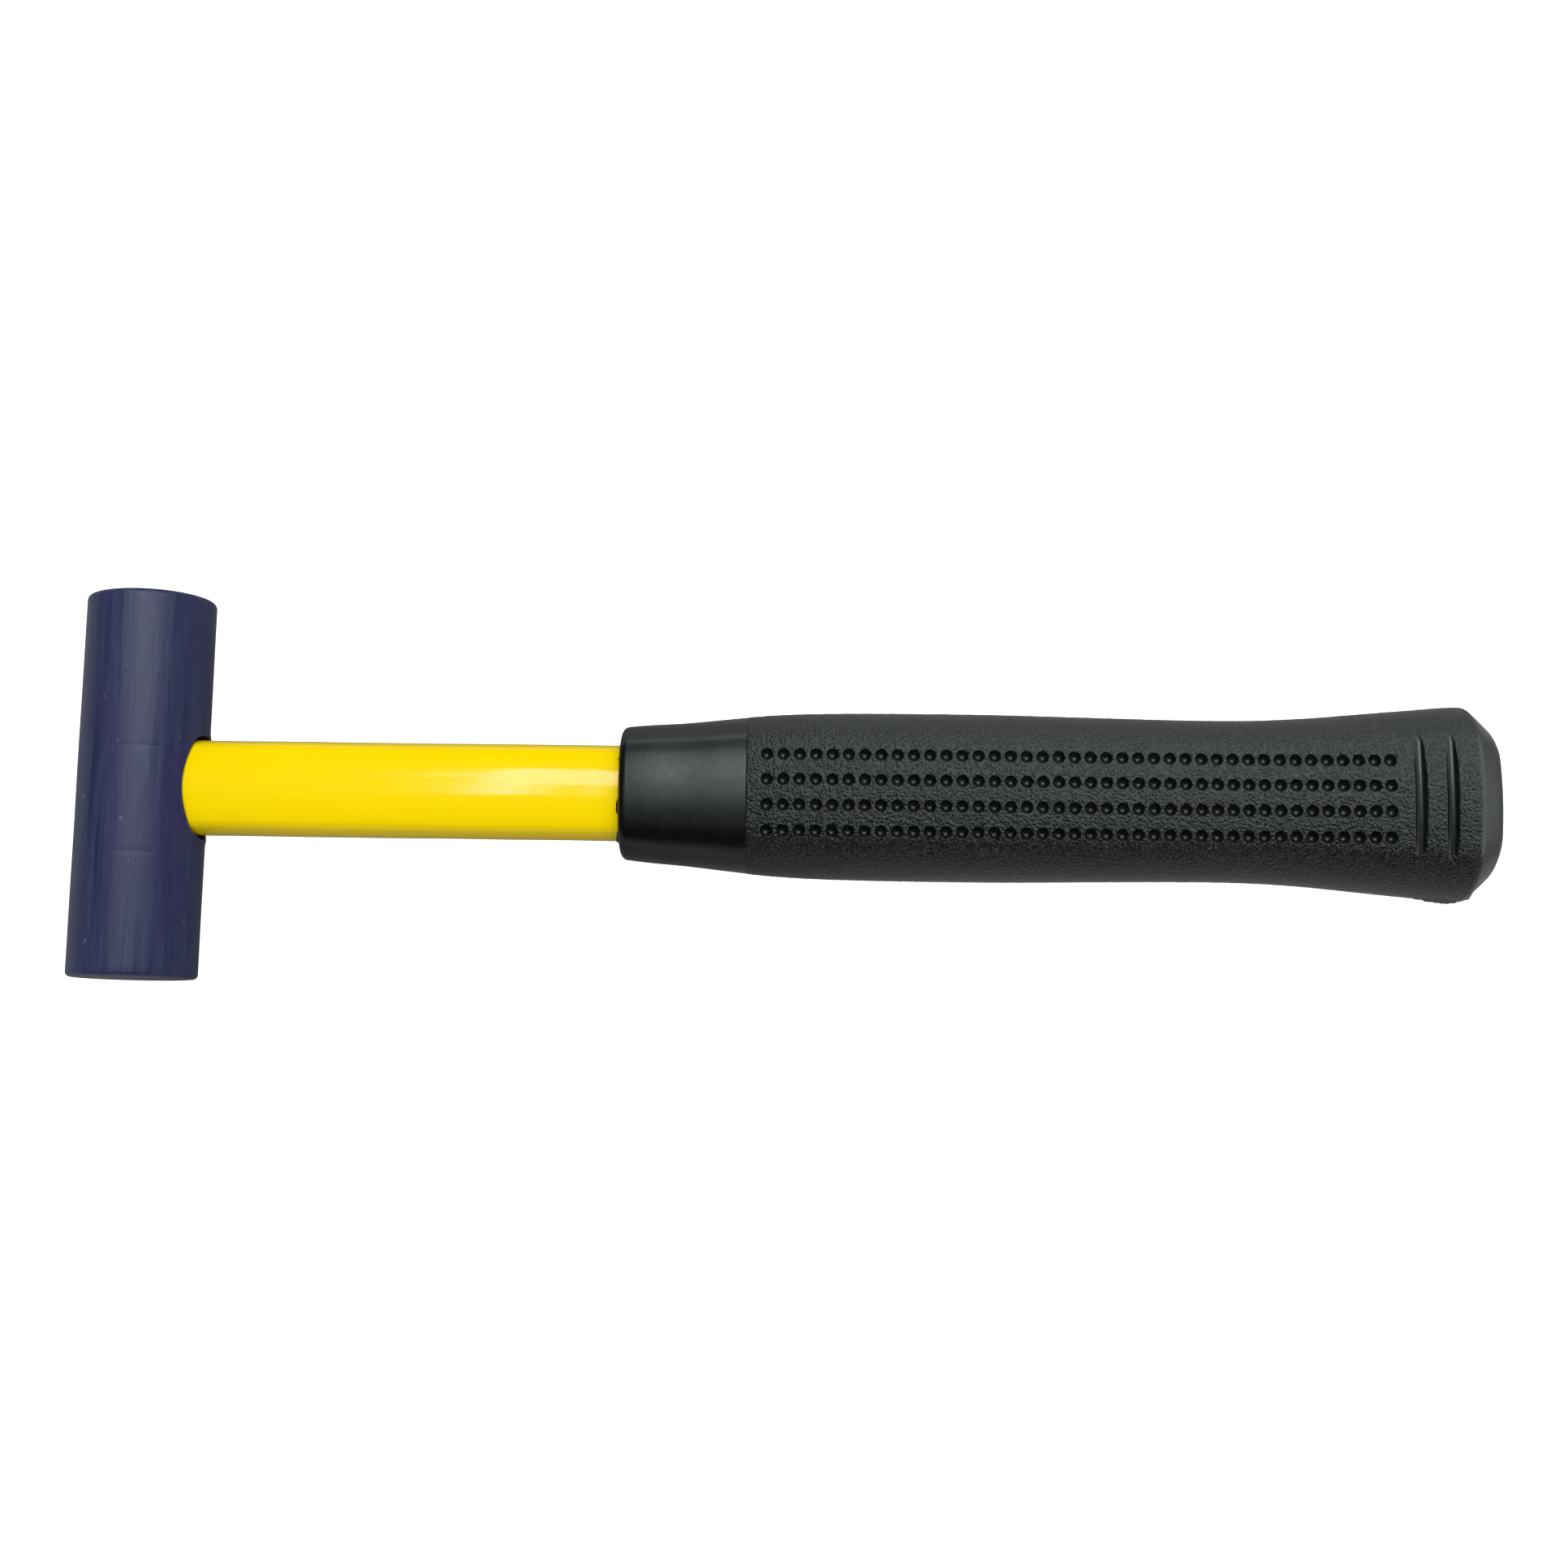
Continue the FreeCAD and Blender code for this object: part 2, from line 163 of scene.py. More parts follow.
def mix_colours(material, share, first, second):
    node = add_node(material, "ShaderNodeMix", data_type="RGBA")
    for socket, colour in ((node.inputs[6], first), (node.inputs[7], second)):
        if isinstance(colour, tuple):
            socket.default_value = (*colour, 1.0)
        else:
            link(material, colour, socket)
    link(material, share, node.inputs[0])
    return node.outputs[2]


def arithmetic(material, operation, first, second):
    node = add_node(material, "ShaderNodeMath", operation=operation)
    for socket, value in ((node.inputs[0], first), (node.inputs[1], second)):
        if isinstance(value, (int, float)):
            socket.default_value = value
        else:
            link(material, value, socket)
    return node.outputs[0]


def bump(material, height, depth, strength=1.0, under=None):
    """Relief of this depth in millimetres, on top of the relief under it."""
    node = add_node(material, "ShaderNodeBump", Strength=strength, Distance=depth * MM)
    link(material, height, node.inputs["Height"])
    if under is not None:
        link(material, under, node.inputs["Normal"])
    return node.outputs["Normal"]


def urethane():
    """Cast navy urethane: faint streaks along the head, a satin skin and a few pale nicks."""
    material, shader = new_material("cast_urethane")
    streaks = noise_value(material, (1, 0.05, 1), 1.5, 4.0, 0.65)
    clouds = noise_value(material, (1, 0.35, 1), 7.0, 4.0, 0.6)
    skin = noise_value(material, (1, 1, 1), 0.35, 4.0)
    share = remap(material, streaks, 0.3, 0.7, 0, 1)
    tone = mix_colours(material, share, (0.013, 0.018, 0.066), (0.036, 0.050, 0.112))
    tone = mix_colours(material, remap(material, clouds, 0.42, 0.60, 0, 0.85), tone, (0.028, 0.026, 0.092))
    nicks = remap(material, noise_value(material, (1, 0.5, 1), 1.1, 1.0), 0.765, 0.80, 0, 0.5)
    tone = mix_colours(material, nicks, tone, (0.14, 0.15, 0.24))
    link(material, tone, shader.inputs["Base Color"])
    link(material, remap(material, streaks, 0.3, 0.7, 0.30, 0.46), shader.inputs["Roughness"])
    relief = bump(material, streaks, 0.11)
    link(material, bump(material, skin, 0.015, under=relief), shader.inputs["Normal"])
    shader.inputs["Specular IOR Level"].default_value = 0.4
    return material


def yellow_jacket():
    """Glossy moulded yellow plastic with a slight orange peel and hairline scuffs."""
    material, shader = new_material("yellow_jacket")
    clouds = noise_value(material, (0.3, 1, 1), 6.0)
    peel = noise_value(material, (0.6, 1, 1), 1.6, 2.0)
    scuffs = noise_value(material, (0.05, 1, 1), 0.35, 2.0)
    tone = mix_colours(material, clouds, (0.94, 0.68, 0.0), (0.98, 0.72, 0.0))
    tone = mix_colours(material, remap(material, scuffs, 0.66, 0.8, 0, 0.25), tone, (0.82, 0.52, 0.01))
    link(material, tone, shader.inputs["Base Color"])
    link(material, remap(material, scuffs, 0.3, 0.8, 0.07, 0.13), shader.inputs["Roughness"])
    link(material, bump(material, peel, 0.012), shader.inputs["Normal"])
    shader.inputs["Specular IOR Level"].default_value = 0.5
    shader.inputs["Specular Tint"].default_value = (1.0, 0.6, 1.0, 1.0)
    return material


def grip_rubber():
    """Black rubber: grained like leather where the grain attribute is 1, and smooth where it is 0."""
    material, shader = new_material("grip_rubber")
    grain = add_node(material, "ShaderNodeAttribute", attribute_name="grain").outputs["Fac"]
    coordinates = object_coordinates(material)
    cells = add_node(material, "ShaderNodeTexVoronoi", feature="F1", Scale=1.6, Randomness=1.0)
    link(material, coordinates, cells.inputs["Vector"])
    pebbles = remap(material, cells.outputs["Distance"], 0.0, 0.75, 1.0, 0.0)
    crumbs = noise_value(material, (1, 1, 1), 0.36, 3.0, 0.6)
    skin = noise_value(material, (1, 1, 1), 1.8, 3.0)
    clouds = noise_value(material, (0.4, 1, 1), 8.0)
    relief = arithmetic(material, "ADD", arithmetic(material, "MULTIPLY", pebbles, 0.7),
                        arithmetic(material, "MULTIPLY", crumbs, 0.6))
    relief = arithmetic(material, "MULTIPLY", relief, grain)
    tone = mix_colours(material, clouds, (0.0022, 0.0025, 0.003), (0.0045, 0.005, 0.0055))
    dust = arithmetic(material, "MULTIPLY", remap(material, crumbs, 0.54, 0.66, 0, 0.8), grain)
    tone = mix_colours(material, dust, tone, (0.058, 0.063, 0.064))
    link(material, tone, shader.inputs["Base Color"])
    smooth_skin = remap(material, skin, 0.3, 0.7, 0.27, 0.34)
    rough_skin = remap(material, crumbs, 0.35, 0.65, 0.22, 0.55)
    roughness = add_node(material, "ShaderNodeMix", data_type="FLOAT")
    link(material, grain, roughness.inputs[0])
    link(material, smooth_skin, roughness.inputs[2])
    link(material, rough_skin, roughness.inputs[3])
    link(material, roughness.outputs[0], shader.inputs["Roughness"])
    base = bump(material, skin, 0.02)
    link(material, bump(material, relief, 0.24, under=base), shader.inputs["Normal"])
    shader.inputs["Specular IOR Level"].default_value = 0.63
    shader.inputs["Specular Tint"].default_value = (0.88, 0.98, 1.0, 1.0)
    return material


def metal(name, dark, light, stretch, roughness):
    """Bare metal with drawing lines along the unstretched axes and patchy dullness."""
    material, shader = new_material(name)
    lines = noise_value(material, stretch, 0.15, 3.0)
    patches = noise_value(material, (1, 1, 1), 4.0)
    link(material, mix_colours(material, lines, dark, light), shader.inputs["Base Color"])
    link(material, remap(material, patches, 0.3, 0.7, *roughness), shader.inputs["Roughness"])
    link(material, bump(material, lines, 0.01), shader.inputs["Normal"])
    shader.inputs["Metallic"].default_value = 1.0
    return material


def fibreglass():
    """Straw-coloured resin with glass rovings along the handle."""
    material, shader = new_material("pultruded_fibreglass")
    rovings = noise_value(material, (0.02, 1, 1), 0.3, 4.0)
    tone = mix_colours(material, rovings, (0.46, 0.38, 0.16), (0.78, 0.72, 0.46))
    link(material, tone, shader.inputs["Base Color"])
    link(material, remap(material, rovings, 0.3, 0.7, 0.25, 0.5), shader.inputs["Roughness"])
    link(material, bump(material, rovings, 0.02), shader.inputs["Normal"])
    return material


def epoxy():
    """Set epoxy, amber and slightly lumpy."""
    material, shader = new_material("set_epoxy")
    lumps = noise_value(material, (1, 1, 1), 1.2, 3.0)
    tone = mix_colours(material, lumps, (0.40, 0.30, 0.14), (0.62, 0.52, 0.30))
    link(material, tone, shader.inputs["Base Color"])
    link(material, remap(material, lumps, 0.3, 0.7, 0.2, 0.45), shader.inputs["Roughness"])
    link(material, bump(material, lumps, 0.05), shader.inputs["Normal"])
    return material


def dress_inner_nodes():
    steel = metal("drawn_steel", (0.36, 0.36, 0.37), (0.60, 0.60, 0.61), (1, 0.04, 1), (0.28, 0.42))
    shot = metal("polished_shot", (0.52, 0.52, 0.54), (0.70, 0.70, 0.71), (1, 1, 1), (0.10, 0.22))
    finishes = {"steel": steel, "shot_steel": shot, "fibreglass": fibreglass(), "adhesive": epoxy()}
    slots = {part["node"]: part["material_slot"] for part in frame["record"]["subparts"]}
    for name, node in frame["nodes"].items():
        if slots[name] in finishes:
            node.data.materials.clear()
            node.data.materials.append(finishes[slots[name]])


# ---------------------------------------------------------------- ovals

class Oval:
    """An oval about the long axis: crowned edges (+-Y) and flats (+-Z), with rounded corners between them.
    A turn is the direction in which the surface faces, from +Y towards +Z."""

    def __init__(self, half_height, half_depth, edge_crown, flat_crown, corner):
        edge_centre = Vector((half_height - edge_crown, 0))
        flat_centre = Vector((0, half_depth - flat_crown))
        # The corner's arc touches both crowns from inside, so its centre is this far from theirs
        to_edge, to_flat = edge_crown - corner, flat_crown - corner
        apart = (flat_centre - edge_centre).length
        toward = (flat_centre - edge_centre) / apart
        along = (to_edge ** 2 - to_flat ** 2 + apart ** 2) / (2 * apart)
        aside = math.sqrt(to_edge ** 2 - along ** 2)
        corner_centre = edge_centre + toward * along + Vector((-toward.y, toward.x)) * aside
        off_edge, off_flat = corner_centre - edge_centre, corner_centre - flat_centre
        # Each arc as (turn where it ends, centre, radius)
        self.arcs = (
            (math.atan2(off_edge.y, off_edge.x), edge_centre, edge_crown),
            (math.atan2(off_flat.y, off_flat.x), corner_centre, corner),
            (math.pi / 2, flat_centre, flat_crown),
        )

    def point(self, turn):
        """The point of the section that faces this way, as (y, z)."""
        folded = abs((turn + math.pi) % (2 * math.pi) - math.pi)
        sharp = min(folded, math.pi - folded)
        _, centre, radius = next((arc for arc in self.arcs if sharp <= arc[0]), self.arcs[-1])
        spot = centre + radius * Vector((math.cos(sharp), math.sin(sharp)))
        return Vector((math.copysign(spot.x, math.cos(turn)), math.copysign(spot.y, math.sin(turn))))

    def turn_at(self, y):
        """Which way the front flat or its corners face at this height."""
        for end, centre, radius in self.arcs:
            turn = math.acos(max(-1.0, min(1.0, (abs(y) - centre.x) / radius)))
            if turn <= end:
                break
        return turn if y >= 0 else math.pi - turn


QUARTER_STEPS = 26
FINE_STEPS = 240


def evenly(section):
    """Points round an oval, anticlockwise from +Y, with even spacing in each quarter."""
    fine = [section.point(math.pi / 2 * step / FINE_STEPS) for step in range(FINE_STEPS + 1)]
    lengths = [0.0]
    for first, second in zip(fine, fine[1:]):
        lengths.append(lengths[-1] + (second - first).length)
    quarter, at = [], 0
    for step in range(QUARTER_STEPS):
        wanted = lengths[-1] * step / QUARTER_STEPS
        while lengths[at + 1] < wanted:
            at += 1
        share = (wanted - lengths[at]) / (lengths[at + 1] - lengths[at])
        quarter.append(fine[at].lerp(fine[at + 1], share))
    half = quarter + [fine[-1]] + [Vector((-point.x, point.y)) for point in quarter[:0:-1]]
    return half + [-point for point in half]


# ---------------------------------------------------------------- handle

FLAT_CROWN = 18.0
EDGE_CROWN = 9.0
CORNER = 3.2
JACKET_WALL = 1.2
JACKET_SWELL = 0.2          # the moulded edges stand this far proud of the nominal size
SINK_SPREAD = 14.0          # the faint sinks of the moulding: how far apart they lie, and their depth
SINK_DEPTH = 0.05
SINKS_BEGIN = (2.0, 12.0)   # they fade in between these places, and out between the next two
SINKS_END = (90.0, 98.0)


def oval(edge_gap=0.0, flat_gap=0.0):
    """The handle's section, grown by these gaps at its edges and its flats."""
    return evenly(Oval(HANDLE_HALF_HEIGHT + edge_gap, HANDLE_HALF_DEPTH + flat_gap,
                       EDGE_CROWN + edge_gap, FLAT_CROWN + flat_gap, CORNER + flat_gap))


class Shell:
    """Points, faces and grain of one closed skin. Rings run anticlockwise seen from +X."""

    def __init__(self):
        self.points, self.faces, self.grain = [], [], []

    def ring(self, points, grain=0.0):
        start = len(self.points)
        self.points.extend(points)
        self.grain.extend([grain] * len(points))
        return list(range(start, start + len(points)))

    def band(self, first, second):
        """Faces from one ring to the next. They face outward where the second ring lies at larger X, or, on
        the front face, where it lies outside the first."""
        for at, index in enumerate(first):
            after = (at + 1) % len(first)
            corners = (index, first[after], second[after], second[at])
            if None not in corners:
                self.faces.append(corners)

    def bands(self, rings):
        for first, second in zip(rings, rings[1:]):
            self.band(first, second)

    def cap(self, ring, centre, grain=0.0, flip=False):
        """A fan over a ring, facing +X, or -X if flipped."""
        middle, = self.ring([centre], grain)
        for at, index in enumerate(ring):
            corners = (index, ring[(at + 1) % len(ring)], middle)
            self.faces.append(corners[::-1] if flip else corners)

    def piece(self, name, material, slot, replaced=None):
        piece = make_piece(name, self.points, self.faces, material, {"grain": self.grain})
        if replaced:
            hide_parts(replaced)
        return piece


def section_at(x, section):
    return [(x, point.x, point.y) for point in section]


def stations(*spans):
    """Places along an axis: each span is (start, step), and runs to the start of the next."""
    places = []
    for (start, step), (end, _) in zip(spans, spans[1:]):
        count = max(1, round((end - start) / step))
        places += [start + (end - start) * at / count for at in range(count)]
    return places + [spans[-1][0]]


def ripple(x, y, z, size, height):
    """A smooth, slight unevenness of the surface, in millimetres."""
    return noise.noise(Vector((x, y, z)) / size) * height


def build_handle(material):
    """The jacket is a tube round the core. What shows of it has the faint sinks of a moulding."""
    shell = Shell()
    outside, bore = oval(JACKET_SWELL), oval(-JACKET_WALL, -JACKET_WALL)
    rings = [shell.ring(section_at(HANDLE_START, bore))]
    for x in stations((HANDLE_START, 3.0), (6.0, 1.0), (102.0, 15.0), (HANDLE_END, 1.0)):
        shown = smoothstep(x, *SINKS_BEGIN) * (1 - smoothstep(x, *SINKS_END))
        ring = []
        for point in outside:
            sink = ripple(x, point.x, point.y, SINK_SPREAD, SINK_DEPTH) - SINK_DEPTH / 2
            ring.append((x, *(point * (1 + shown * sink / HANDLE_HALF_DEPTH))))
        rings.append(shell.ring(ring))
    rings += [shell.ring(section_at(x, bore)) for x in (HANDLE_END, 120.0)]
    shell.bands(rings + rings[:1])
    return shell.piece("handle", material, "handle_yellow", "handle_jacket")


# ---------------------------------------------------------------- head

SIDE_COLUMNS = 96
COLUMN_TURN = 2 * math.pi / SIDE_COLUMNS
PATCH_REACH = 13            # the patch round the eye is 26 columns wide and 26 rows high
EDGE_ROUND = 1.0
EDGE_STEPS = 6
HEAD_SWELL = 0.22           # the casting's side stands this far proud of the nominal size
WITNESS_LINES = (6.9, -14.4)            # the mould left these two faint lines round the head
LINE_DEPTH, LINE_WIDTH = 0.018, 0.12
LINE_ROW_GAP = 0.16         # rows of the mesh lie this far on both sides of the lower line
ROW_STEP = 1.2
CAST_SPREAD, CAST_DEPTH = 5.0, 0.05     # unevenness of the casting
PATCH_ROWS = (0, 1.3, 2.6, 3.9, 5.2, 6.74, 6.9, 7.06, 8.1, 9.1, 10.1, 11.1, 12.1, 13.0)
EYE_EDGE_GAP = 1.1          # clearance above and below the handle
EYE_FLAT_GAP = 0.12
SLOT_END = -4.7
LIP_WIDTH = 1.5
# Section of the eye's lip, as (distance outside the slot's walls, height above the side, depth in the slot)
LIP_PROFILE = (
    (1.15, 0.03, 0), (0.85, 0.09, 0), (0.6, 0.14, 0), (0.38, 0.16, 0), (0.2, 0.14, 0), (0.07, 0.07, 0.02),
    (0.0, 0, 0.1), (0.0, 0, 0.6),
)
FACE_DISH = 0.06
DISH_SLOPE = (12.0, 6.0)    # the radii between which a face slopes down into its dish
FACE_RINGS = (11.0, 9.0, 6.5, 4.0, 1.5)


def head_radius(y, turn):
    """Distance of the head's side from its axis, with the witness lines and the casting's unevenness."""
    groove = sum(LINE_DEPTH * math.exp(-((y - line) / LINE_WIDTH) ** 2) for line in WITNESS_LINES)
    x, z = 12.0 * math.cos(turn), 12.0 * math.sin(turn)
    return HEAD_RADIUS + HEAD_SWELL - groove + ripple(x, y * 0.3, z, CAST_SPREAD, CAST_DEPTH)


def head_side(y, turn, inset=0.0):
    radius = head_radius(y, turn) - inset
    return (radius * math.cos(turn), y, radius * math.sin(turn))


def head_rows():
    """Heights and insets of the side's rings, from the lower face's edge to the upper one's."""
    upper = [(y, 0.0) for y in PATCH_ROWS]
    line = abs(WITNESS_LINES[1])
    beyond = stations((PATCH_ROWS[-1], ROW_STEP), (line - LINE_ROW_GAP, LINE_ROW_GAP),
                      (line + LINE_ROW_GAP, ROW_STEP), (HEAD_HALF_LENGTH - EDGE_ROUND, ROW_STEP))
    upper += [(y, 0.0) for y in beyond[1:]]
    for step in range(1, EDGE_STEPS + 1):
        turn = math.pi / 2 * step / EDGE_STEPS
        y = HEAD_HALF_LENGTH - EDGE_ROUND * (1 - math.sin(turn))
        upper.append((y, EDGE_ROUND * (1 - math.cos(turn))))
    return [(-y, inset) for y, inset in upper[:0:-1]] + upper


def circle(radius, y):
    """A ring round the head's axis."""
    turns = [column * COLUMN_TURN for column in range(SIDE_COLUMNS)]
    return [(radius * math.cos(turn), y, radius * math.sin(turn)) for turn in turns]


def eye_outline(gap, raised=0.0, depth=0.0):
    """The eye's outline on the side, this far outside the slot's walls."""
    ring = []
    for point in oval(EYE_EDGE_GAP + gap, EYE_FLAT_GAP + gap):
        turn = math.asin(point.y / HEAD_RADIUS)
        radius = head_radius(point.x, turn) + raised
        ring.append((radius * math.cos(turn) - depth, point.x, radius * math.sin(turn)))
    return ring


def build_head(material):
    """The cast cylinder: the eye's lip is rounded over, and two sealed bores hold the canisters."""
    shell = Shell()
    rows = head_rows()
    middle_row = len(rows) // 2
    grid = {}
    for at, (y, inset) in enumerate(rows):
        for column in range(SIDE_COLUMNS):
            signed = (column + SIDE_COLUMNS // 2) % SIDE_COLUMNS - SIDE_COLUMNS // 2
            if abs(at - middle_row) < PATCH_REACH and abs(signed) < PATCH_REACH:
                continue
            grid[at, column], = shell.ring([head_side(y, column * COLUMN_TURN, inset)])
    for at in range(len(rows) - 1):
        for column in range(SIDE_COLUMNS):
            after = (column + 1) % SIDE_COLUMNS
            keys = ((at + 1, column), (at + 1, after), (at, after), (at, column))
            corners = [grid.get(key) for key in keys]
            if None not in corners:
                shell.faces.append(tuple(corners))

    # The two faces, very slightly dished
    for at, sign in ((0, -1), (len(rows) - 1, 1)):
        rings = [[grid[at, column] for column in range(SIDE_COLUMNS)]]
        for radius in FACE_RINGS:
            y = sign * (HEAD_HALF_LENGTH - FACE_DISH * smoothstep(radius, *DISH_SLOPE))
            rings.append(shell.ring(circle(radius, y)))
        shell.bands(rings if sign < 0 else rings[::-1])
        shell.cap(rings[-1], (0, sign * (HEAD_HALF_LENGTH - FACE_DISH), 0), flip=sign > 0)

    # The patch: from the grid's rectangle to the eye, over its lip and down the slot
    edge = [(middle_row + PATCH_REACH, column) for column in range(0, PATCH_REACH)]
    edge += [(row, PATCH_REACH) for row in range(middle_row + PATCH_REACH, middle_row - PATCH_REACH, -1)]
    edge += [(middle_row - PATCH_REACH, column) for column in range(PATCH_REACH, -PATCH_REACH, -1)]
    edge += [(row, -PATCH_REACH) for row in range(middle_row - PATCH_REACH, middle_row + PATCH_REACH)]
    edge += [(middle_row + PATCH_REACH, column) for column in range(-PATCH_REACH, 0)]
    rectangle = [grid[row, column % SIDE_COLUMNS] for row, column in edge]
    outer = [(rows[row][0], column * COLUMN_TURN) for row, column in edge]
    lip_section = oval(EYE_EDGE_GAP + LIP_WIDTH, EYE_FLAT_GAP + LIP_WIDTH)
    lip = [(point.x, math.asin(point.y / HEAD_RADIUS)) for point in lip_section]
    rings = [rectangle]
    for share in (0.25, 0.5, 0.75, 1.0):
        points = []
        for (first_y, first_turn), (second_y, second_turn) in zip(outer, lip):
            y = first_y + (second_y - first_y) * share
            points.append(head_side(y, first_turn + (second_turn - first_turn) * share))
        rings.append(shell.ring(points))
    for gap, raised, depth in LIP_PROFILE:
        rings.append(shell.ring(eye_outline(gap, raised, depth)))
    slot_section = oval(EYE_EDGE_GAP, EYE_FLAT_GAP)
    rings += [shell.ring(section_at(x, slot_section)) for x in (6.0, 0.0, SLOT_END)]
    shell.bands(rings)
    shell.cap(rings[-1], (SLOT_END, 0, 0))

    # The sealed bores that the canisters fill
    for canister in ("upper_canister", "lower_canister"):
        low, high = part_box(canister)
        radius, bottom, top = (high.x - low.x) / 2 / MM, (low.y - AXES.y) / MM, (high.y - AXES.y) / MM
        ends = [shell.ring(circle(radius, y)) for y in (bottom, top)]
        shell.bands(ends)
        shell.cap(ends[0], (0, bottom, 0), flip=True)
        shell.cap(ends[1], (0, top, 0))
    return shell.piece("head", material, "head_urethane", "head_casing")


# ---------------------------------------------------------------- grip

# Half-heights along the grip, as (distance from the head's axis, half-height)
GRIP_PROFILE = (
    (98.6, 13.55), (104.0, 14.10), (112.0, 14.70), (120.0, 15.55), (128.0, 16.35), (136.0, 16.80),
    (145.0, 17.02), (155.0, 17.12), (175.0, 17.10), (195.0, 16.76), (212.0, 16.50), (225.0, 16.55),
    (237.0, 17.15), (248.0, 18.15), (258.0, 19.05), (265.0, 19.70), (268.4, 19.79),
)
FLATNESS = 0.82             # depth over height of the grip's oval section
GRIP_OVAL = Oval(1.0, FLATNESS, 0.9, 2.4, 0.42)     # for a half-height of 1
FRONT_ROUND = 1.6
RIM_X = 268.0
# The bevel and the rounded butt, as the same pairs
BUTT_PROFILE = (
    (268.45, 19.72), (268.8, 19.52), (269.1, 19.25), (270.1, 18.33), (271.2, 17.30), (272.3, 16.27),
    (272.9, 15.68), (273.4, 15.05), (273.8, 14.3), (274.1, 13.2), (274.28, 11.6), (274.38, 9.6),
    (274.4, 7.6), (274.38, 5.0), (274.36, 2.5),
)
AXIS_DROP = 0.12            # the grip's own axis lies this far below the handle's
GRAIN_SPREAD, GRAIN_HEIGHT = 0.9, 0.05
TEXTURE_START = 124.3
TEXTURE_STEP = 0.04         # the textured skin stands this far proud of the smooth collar

DIMPLE_COLUMNS, DIMPLE_ROWS = 40, 4
DIMPLE_PITCH_X, DIMPLE_PITCH_Y = 3.258, 5.1
PITCH_DROP = 0.0029         # the columns come closer together towards the butt
FIRST_DIMPLE_X = 128.34
FIELD_MIDDLE = -1.05        # the dimples sit a little towards the lower edge
CELL_STEPS = 6
# Rings of one dimple, as (radius, depth, grain)
DIMPLE_RINGS = (
    (1.44, 0.0, 1.0), (1.24, 0.02, 1.0), (1.15, 0.12, 0.4), (1.08, 0.34, 0.0), (0.98, 0.62, 0.0),
    (0.80, 0.88, 0.0), (0.42, 1.10, 0.0),
)
DIMPLE_DEPTH = 1.18
FIELD_HALF = DIMPLE_ROWS * DIMPLE_PITCH_Y / 2
FLAT_STEPS = DIMPLE_ROWS * CELL_STEPS
SIDE_STEPS = 2 * QUARTER_STEPS - FLAT_STEPS
BURR_COLUMN = FLAT_STEPS + SIDE_STEPS
NARROW = 15.5               # sections lower than this carry the columns of the flats closer together

GROOVES = (256.7, 262.8)
GROOVE_MIDDLE = 0.7
GROOVE_RADIUS = 1.15
GROOVE_DEPTH = 0.9
GROOVE_SWEEP = 74.0         # the cutter swings round this radius, so each groove runs out towards the edges
GROOVE_EDGE = 0.12          # below this depth in a groove the rubber has no grain


def dimple_x(column):
    """Where a column of dimples lies. Halves stand for the borders between columns."""
    return FIRST_DIMPLE_X + column * (DIMPLE_PITCH_X - PITCH_DROP * column)


FIELD_START = dimple_x(-0.5)
FIELD_END = dimple_x(DIMPLE_COLUMNS - 0.5)


def through(profile, x):
    """A smooth curve through the profile's points."""
    if x <= profile[0][0]:
        return profile[0][1]
    if x >= profile[-1][0]:
        return profile[-1][1]
    at = next(index for index, point in enumerate(profile) if point[0] > x) - 1
    slopes = []
    for index in (at, at + 1):
        before, after = profile[max(index - 1, 0)], profile[min(index + 1, len(profile) - 1)]
        slopes.append((after[1] - before[1]) / (after[0] - before[0]))
    (low_x, low), (high_x, high) = profile[at], profile[at + 1]
    width = high_x - low_x
    share = (x - low_x) / width
    rest = 1 - share
    return (low * (1 + 2 * share) * rest ** 2 + high * (3 - 2 * share) * share ** 2
            + width * (slopes[0] * share * rest ** 2 - slopes[1] * rest * share ** 2))


def grip_half_height(x):
    return through(GRIP_PROFILE, x) + TEXTURE_STEP * (smoothstep(x, TEXTURE_START, TEXTURE_START + 0.15) - 1)


def grip_middle(x):
    """Height of the grip's own axis above the handle's."""
    return -AXIS_DROP * smoothstep(x, 96.0, 116.0)


def grip_grain(x):
    return smoothstep(x, TEXTURE_START, TEXTURE_START + 0.2) * (1 - smoothstep(x, RIM_X - 0.2, RIM_X + 0.4))


def groove_depth(x, y, z, half):
    """How far a groove lies under this point of a section, if one does."""
    deepest = 0.0
    for groove_x in GROOVES:
        across = GROOVE_RADIUS ** 2 - (x - groove_x) ** 2
        swing = y - GROOVE_MIDDLE
        if across <= 0 or abs(swing) >= GROOVE_SWEEP:
            continue
        drop = GROOVE_SWEEP - math.sqrt(GROOVE_SWEEP ** 2 - swing ** 2)
        reach = abs(z) - (FLATNESS * half - GROOVE_DEPTH - drop)
        deepest = max(deepest, math.sqrt(across) - (GROOVE_RADIUS - reach))
    return deepest


def on_flat(x, y, side, depth=0.0):
    """A point on the front (side 1) or back (side -1) of the grip, sunk straight into its surface."""
    half, middle = grip_half_height(x), grip_middle(x)
    turn = GRIP_OVAL.turn_at((y - middle) / half)
    spot = GRIP_OVAL.point(turn) * half - Vector((math.cos(turn), math.sin(turn))) * depth
    return (x, middle + spot.x, side * spot.y)


